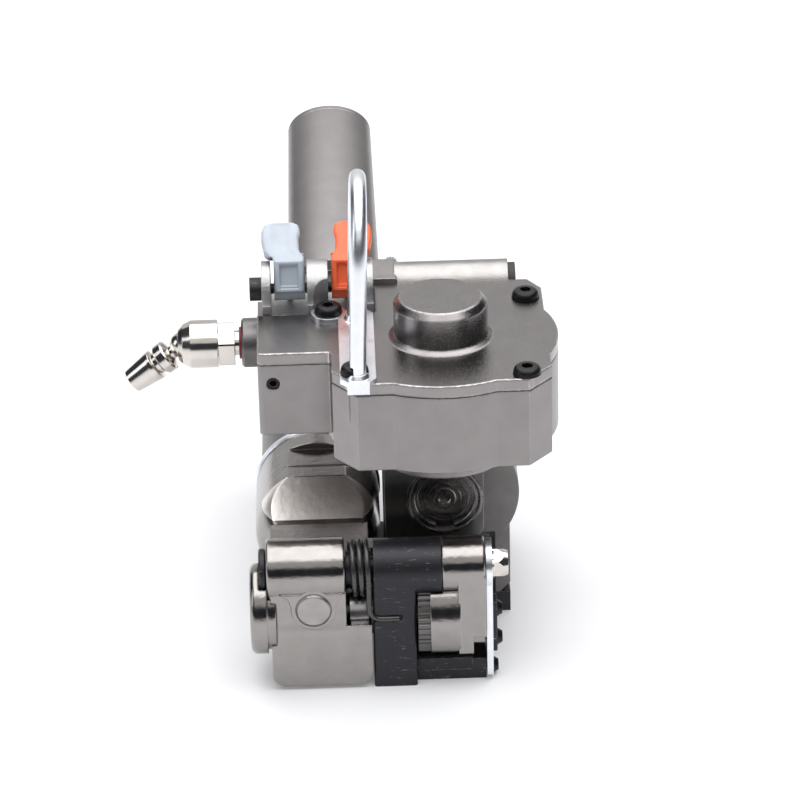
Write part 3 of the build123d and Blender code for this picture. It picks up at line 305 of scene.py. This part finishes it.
def plastic(name, colour, roughness, grain_mm=0.45):
    """Moulded plastic with a fine sparked texture."""
    paint = Paint(name, colour, roughness)
    edges = paint.rounded(0.6)
    grain = paint.noise(grain_mm, detail=3)
    clouds = paint.noise(6.0, detail=3)
    tone = paint.blend(paint.spread(clouds, 0.3, 0.7), scaled(colour, 0.95), scaled(colour, 1.04))
    # painted highlight: edges painted a little lighter than the plastic
    tone = paint.blend(paint.math("MULTIPLY", edges, 0.4), tone, scaled(colour, 1.12))
    paint.bump(grain, 0.03)
    return paint.finish(tone, paint.spread(grain, 0.3, 0.7, roughness - 0.05, roughness + 0.07))


# this facet is made rougher and also painted brighter as a painted highlight
FACET_RANGE = (44.0, 61.2, 39.0)      # front and rear Y and lowest Z of the motor's frosted facet

MATERIALS = {
    "body_metal": cast_metal("body_metal", (0.285, 0.268, 0.265), 0.34, grain_mm=0.4,
                             grain_depth=0.045, edge=2.0, round_mm=0.7, blotch=0.05),
    "cover_metal": cast_metal("cover_metal", (0.29, 0.272, 0.268), 0.21, grain_mm=0.45,
                              grain_depth=0.06, edge=3.0, round_mm=1.3, blotch=0.04),
    "timer_cast": cast_metal("timer_cast", (0.36, 0.345, 0.335), 0.34, grain_mm=0.7,
                             grain_depth=0.10, edge=1.6, round_mm=0.6),
    "dark_cast": cast_metal("dark_cast", (0.19, 0.182, 0.178), 0.40, grain_depth=0.06, edge=1.8),
    "plated_casting": plated_metal("plated_casting", (0.32, 0.302, 0.29), 0.12, round_mm=1.0,
                                   wave_depth=0.03, frosted_and_highlit=FACET_RANGE),
    "black_steel": black_oxide("black_steel", (0.035, 0.035, 0.040), 0.38, scratch=1.1, round_mm=0.6),
    "black_screw": black_oxide("black_screw", (0.02, 0.02, 0.022), 0.33, scratch=0.1, round_mm=0.25),
    "black_spring": black_oxide("black_spring", (0.085, 0.083, 0.082), 0.24, scratch=0.2),
    "bright_zinc": plated_metal("bright_zinc", (0.86, 0.88, 0.92), 0.27, round_mm=0.3),
    "nickel": plated_metal("nickel", (0.66, 0.62, 0.58), 0.12, round_mm=0.3, wave_depth=0.008),
    "tool_steel": turned_steel("tool_steel", (0.16, 0.155, 0.15), 0.38),
    "inner_steel": turned_steel("inner_steel", (0.5, 0.5, 0.5), 0.3),
    "vane_plastic": plastic("vane_plastic", (0.22, 0.13, 0.07), 0.6),
    "bearing_steel": plated_metal("bearing_steel", (0.44, 0.425, 0.42), 0.24, round_mm=0.01,
                                  wave_depth=0.002),
    "rough_cast": cast_metal("rough_cast", (0.46, 0.455, 0.45), 0.36, grain_mm=0.8,
                             grain_depth=0.22, edge=1.3),
    "grey_plastic": plastic("grey_plastic", (0.52, 0.575, 0.64), 0.42),
    "orange_plastic": plastic("orange_plastic", (0.98, 0.17, 0.06), 0.38),
    "red_seal": plastic("red_seal", (0.30, 0.02, 0.03), 0.4),
    "gasket_fibre": plastic("gasket_fibre", (0.05, 0.05, 0.05), 0.8),
    "black_plastic": plastic("black_plastic", (0.02, 0.02, 0.022), 0.5),
}


def dress_cad_nodes():
    """Gives every CAD node the material of its slot in the record, and a few a shade of their own."""
    for part in frame["record"]["subparts"]:
        mesh = frame["nodes"][part["node"]].data
        mesh.materials.clear()
        mesh.materials.append(MATERIALS[part["material_slot"]])
    for node, name in (("top_cover", "cover_metal"), ("handle_end_plug", "body_metal"),
                       ("timer_housing", "timer_cast"), ("front_plug", "timer_cast")):
        frame["nodes"][node].data.materials[0] = MATERIALS[name]


# ---------------------------------------------------------------- modelled pieces
def add_piece(name, points, faces, body, slot, stands_for=()):
    """A smooth-shaded mesh in millimetres that rides on a body, in its slot's material."""
    mesh = bpy.data.meshes.new(name)
    mesh.from_pydata([Vector(p) * MM for p in points], [], faces)
    mesh.materials.append(MATERIALS[slot])
    work = bmesh.new()
    work.from_mesh(mesh)
    bmesh.ops.remove_doubles(work, verts=work.verts, dist=1e-7)
    bmesh.ops.recalc_face_normals(work, faces=work.faces)
    for edge in work.edges:
        edge.smooth = len(edge.link_faces) == 2 and edge.calc_face_angle(0) < radians(38)
    for face in work.faces:
        face.smooth = True
    work.to_mesh(mesh)
    work.free()
    piece = bpy.data.objects.new(name, mesh)
    bpy.context.scene.collection.objects.link(piece)
    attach(piece, body)
    if stands_for:
        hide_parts(*stands_for)
    return piece


def skin(loops, closed=False):
    """Points and faces of a skin over equal loops, capped at both ends unless closed."""
    count = len(loops[0])
    points = [p for loop in loops for p in loop]
    faces = []
    last = len(loops) if closed else len(loops) - 1
    for i in range(last):
        a, b = i * count, (i + 1) % len(loops) * count
        faces += [(a + k, a + (k + 1) % count, b + (k + 1) % count, b + k) for k in range(count)]
    if not closed:
        faces.append(tuple(range(count - 1, -1, -1)))
        faces.append(tuple(range((len(loops) - 1) * count, len(loops) * count)))
    return points, faces


def joined(*parts):
    """Several sets of points and faces as one."""
    points, faces = [], []
    for part_points, part_faces in parts:
        faces += [tuple(i + len(points) for i in face) for face in part_faces]
        points += part_points
    return points, faces


def lathe_y(profile, x, z, steps=72, start=0.0, sweep=360.0):
    """Turned shape about an axis along Y. The profile is a closed loop of radius and Y."""
    full = sweep >= 360
    turns = [radians(start + sweep * i / steps) for i in range(steps if full else steps + 1)]
    loops = [[(x + r * cos(t), y, z + r * sin(t)) for r, y in profile] for t in turns]
    return skin(loops, closed=full)


def tube(path, radius, sides=20):
    """Round wire along a smooth path."""
    loops = []
    normal = None
    for i, point in enumerate(path):
        along = (path[min(i + 1, len(path) - 1)] - path[max(i - 1, 0)]).normalized()
        if normal is None:
            normal = along.orthogonal().normalized()
        normal = (normal - along * normal.dot(along)).normalized()
        other = along.cross(normal)
        angles = [2 * pi * k / sides for k in range(sides)]
        loops.append([point + (normal * cos(a) + other * sin(a)) * radius for a in angles])
    return skin(loops)


def between(stops, at):
    """Smooth value between the stops of a list of position and value."""
    for (a, low), (b, high) in zip(stops, stops[1:]):
        if at <= b:
            share = (at - a) / (b - a)
            return low + (high - low) * (3 - 2 * share) * share * share
    return stops[-1][1]


# Thumb levers, about their pin
PIN_Y, PIN_Z = 73.0, 122.5
HUB_R = 4.4
LEVER_EDGE_R = 1.3
POCKET_HALF, POCKET_DEPTH = 3.6, 1.6
CREASE = 0.36         # share of a lever's height where the base ends and the pad begins
FRONT_Y = ((0, -6.0), (0.10, -5.8), (CREASE, -3.4), (0.45, -1.6), (1, 11.0))
FRONT_Z = ((0, 1.0), (0.10, 2.2), (CREASE, 12.3), (0.45, 13.4), (1, 22.2))
OUTLINE = (           # share, then how far the outer and inner edges lie outside the base
    (0, 0, 0), (CREASE, 0, 0), (0.47, 0.9, 0), (0.53, 2.1, -0.2), (0.62, 3.6, -1.6), (0.74, 4.35, -1.8),
    (0.82, 4.3, -1.1), (0.90, 3.5, -1.6), (0.96, 1.6, -3.4), (1, -0.9, -5.6))


def lever_loop(share, x0, width, side):
    """One cross-section of a lever: flat front with a thumb pocket, rounded corners."""
    front = Vector((0, PIN_Y + between(FRONT_Y, share), PIN_Z + between(FRONT_Z, share)))
    pad = between(((0, 0), (CREASE, 0), (0.6, 1), (1, 1)), share)
    depth_way = Vector((0, 1, 0)).lerp(Vector((0, 0.56, -0.83)), pad).normalized()
    thick = between(((0, 8.0), (0.12, 8.6), (CREASE, 7.0), (0.55, 5.2), (1, 4.2)), share)
    soften = between(((0, 1.1), (0.03, 0.2), (0.94, 0.2), (1, 1.2)), share)
    outer = between([(at, out) for at, out, _ in OUTLINE], share)
    inner = between([(at, back) for at, _, back in OUTLINE], share)
    left = x0 - (outer if side < 0 else inner) + soften * 0.6
    right = x0 + width + (inner if side < 0 else outer) - soften * 0.6
    in_pocket = between(((0, 0), (0.10, 0), (0.13, 1), (0.28, 1), (0.31, 0), (1, 0)), share)
    dish = between(((0, 0), (0.5, 0), (0.7, 0.7), (0.9, 0.7), (1, 0)), share)
    row = []
    edge = LEVER_EDGE_R
    columns = ((0.0, edge), (0.12 * edge, 0.5 * edge), (0.5 * edge, 0.12 * edge), (edge, 0.0))
    for across, sink in columns:
        row.append((left + across, sink + soften * 0.5))
    middle_x = (left + right) / 2
    half = min(POCKET_HALF, (right - left) / 2 - 1.6)
    for place, sunk in ((-1, 0), (-0.86, 1), (-0.35, 1), (0.35, 1), (0.86, 1), (1, 0)):
        sink = sunk * in_pocket * POCKET_DEPTH + dish * (1 - place * place)
        row.append((middle_x + place * half, sink + soften * 0.5))
    for across, sink in reversed(columns):
        row.append((right - across, sink + soften * 0.5))
    for across, sink in columns:
        row.append((right - across, thick - sink - soften * 0.5))
    for across, sink in reversed(columns):
        row.append((left + across, thick - sink - soften * 0.5))
    return [Vector((x, 0, 0)) + front + depth_way * depth for x, depth in row]


def hub_and_foot(x0, x1):
    """Round hub on the pin and the foot that pushes the valve spool."""
    angles = [2 * pi * k / 40 for k in range(40)]
    hub = skin([[(x, PIN_Y + HUB_R * cos(a), PIN_Z + HUB_R * sin(a)) for a in angles] for x in (x0, x1)])
    foot_side = ((-3, -3.4), (10.3, -3.4), (10.3, -0.6), (6, 2.8), (-5, 2.8))
    foot = skin([[(x, PIN_Y + dy, PIN_Z + dz) for dy, dz in foot_side] for x in (x0 + 0.1, x1 - 0.1)])
    return hub, foot


def make_lever(name, x0, x1, side, slot, body):
    """Whole thumb lever in place of its CAD node. Its pad reaches out to the left for side -1."""
    shares = [0.0, 0.015] + [0.03 + 0.94 * i / 46 for i in range(47)] + [0.985, 1.0]
    blade = skin([lever_loop(share, x0, x1 - x0, side) for share in shares])
    points, faces = joined(blade, *hub_and_foot(x0, x1))
    add_piece(name, points, faces, body, slot, stands_for=(name.replace("_shape", ""),))


# Torsion spring round the pivot
PIVOT_Y, PIVOT_Z = -3.5, 45.3
COIL_R, WIRE_R, COIL_PITCH, COIL_TURNS = 9.7, 1.05, 2.6, 2.75
COIL_START_X = -27.2
LEG_Z, LEG_END_X, LEG_BEND_R = 28.7, -9.2, 4.5


def make_torsion_spring():
    """Coil whose leg comes down in front of the arm and bends to lie in its groove."""
    leg_x = COIL_START_X + COIL_PITCH * COIL_TURNS
    path = []
    steps = 132
    for i in range(steps + 1):
        turned = COIL_TURNS * i / steps
        angle = radians(180) + 2 * pi * (turned - COIL_TURNS)
        path.append(Vector((COIL_START_X + COIL_PITCH * turned,
                            PIVOT_Y + COIL_R * cos(angle), PIVOT_Z + COIL_R * sin(angle))))
    leg_y = PIVOT_Y - COIL_R
    for i in range(1, 7):
        path.append(Vector((leg_x, leg_y, PIVOT_Z + (LEG_Z + LEG_BEND_R - PIVOT_Z) * i / 6)))
    for i in range(1, 13):
        angle = radians(90 * i / 12)
        path.append(Vector((leg_x + LEG_BEND_R * (1 - cos(angle)), leg_y + 0.2 * i / 12,
                            LEG_Z + LEG_BEND_R * (1 - sin(angle)))))
    path.append(Vector((LEG_END_X, leg_y + 0.2, LEG_Z)))
    points, faces = tube(path, WIRE_R)
    add_piece("torsion_spring_wire", points, faces, "frame", "black_spring", ("torsion_spring",))


# Button-head socket screws: their heads stand on the cover and the hanger plate
HEAD_R, HEAD_H, SOCKET_FLATS = 5.2, 3.2, 4.0
SOCKET_FLOOR = 0.35   # height of the socket's floor, as a share of the head's
COVER_TOP, PLATE_TOP = 117.0, 119.0
SCREW_SEATS = (
    (-22.7, 7.9, PLATE_TOP),
    (-31.5, 58.6, PLATE_TOP),
    (39.3, 6.8, COVER_TOP),
    (42.2, 70.5, COVER_TOP),
)


def screw_head(seat, along, radius, height, flats):
    """Domed head with a hexagonal socket, standing on a seat point and facing along a direction."""
    across = along.orthogonal().normalized()
    other = along.cross(across)
    angles = [2 * pi * k / 48 for k in range(48)]
    ways = [across * cos(a) + other * sin(a) for a in angles]
    rim_h, rim_share, top_share, steps = 0.9, 0.97, 0.55, 7
    rings = [(radius * 0.92, 0.0), (radius, 0.3), (radius * rim_share, rim_h)]
    for i in range(1, steps + 1):
        share = rim_share - (rim_share - top_share) * (i / steps) ** 2
        rings.append((radius * share, rim_h + (height - rim_h) * sin(pi / 2 * i / steps)))
    loops = [[seat + way * r + along * h for way in ways] for r, h in rings]
    hexagon = [flats / 2 / cos((a + pi / 6) % (pi / 3) - pi / 6) for a in angles]
    for depth in (height, height * SOCKET_FLOOR):
        loops.append([seat + way * r + along * depth for way, r in zip(ways, hexagon)])
    return skin(loops)


def make_screws():
    """The cover's four screw heads."""
    upward = Vector((0, 0, 1))
    heads = [screw_head(Vector(seat), upward, HEAD_R, HEAD_H, SOCKET_FLATS) for seat in SCREW_SEATS]
    add_piece("cover_screws", *joined(*heads), "frame", "black_screw", ("cover_bolts",))


# Front of the weld unit's bearing
SHAFT_X, SHAFT_Z = 9.5, 53.0
BEARING_FRONT = 33.2
RING_GAP = 36         # degrees left open in the retaining ring
# Turned outlines: radius, and distance behind the bearing's front face
SEAT_RING = ((14.4, -1.3), (14.2, -1.7), (13.3, -1.7), (13.0, -1.2), (13.0, -1.0), (14.4, -1.0))
RETAINING_RING = ((12.6, -0.9), (12.5, -1.1), (11.3, -1.1), (11.1, -0.9), (11.1, -0.2), (12.6, -0.2))
SHIELD = ((10.15, -0.1), (9.9, -0.3), (9.2, -0.3), (8.8, 0.3), (8.2, 0.3), (7.9, -0.2),
          (7.8, 0.4), (7.8, 0.9), (10.15, 0.9))
SHAFT_SCREW = ((6.3, -0.1), (6.1, -0.6), (4.7, -0.6), (4.3, -0.1), (3.9, -0.2), (3.6, -0.9),
               (2.3, -0.9), (1.9, -0.5), (1.9, 0.8), (0.05, 0.8), (0.05, 1.2), (6.3, 0.3))


def bearing_piece(name, outline, body, **turn):
    """Turned piece on the shaft's axis."""
    profile = [(radius, BEARING_FRONT + back) for radius, back in outline]
    points, faces = lathe_y(profile, SHAFT_X, SHAFT_Z, **turn)
    add_piece(name, points, faces, body, "bearing_steel")


def make_bearing_front():
    """Seat ring, retaining ring and shield in front of the bearing, and the screw in the shaft's end."""
    bearing_piece("bearing_seat_ring", SEAT_RING, "frame")
    bearing_piece("bearing_shield", SHIELD, "frame")
    bearing_piece("shaft_end_screw", SHAFT_SCREW, "weld_rotor")
    bearing_piece("bearing_circlip", RETAINING_RING, "frame", start=-2 * RING_GAP, sweep=360 - RING_GAP)


make_camera()
make_lights()
make_floor()
dress_cad_nodes()
make_lever("tension_lever_shape", -51.4, -39.9, -1, "grey_plastic", "tension_lever")
make_lever("weld_lever_shape", -30.0, -18.7, 1, "orange_plastic", "weld_lever")
make_torsion_spring()
make_screws()
make_bearing_front()
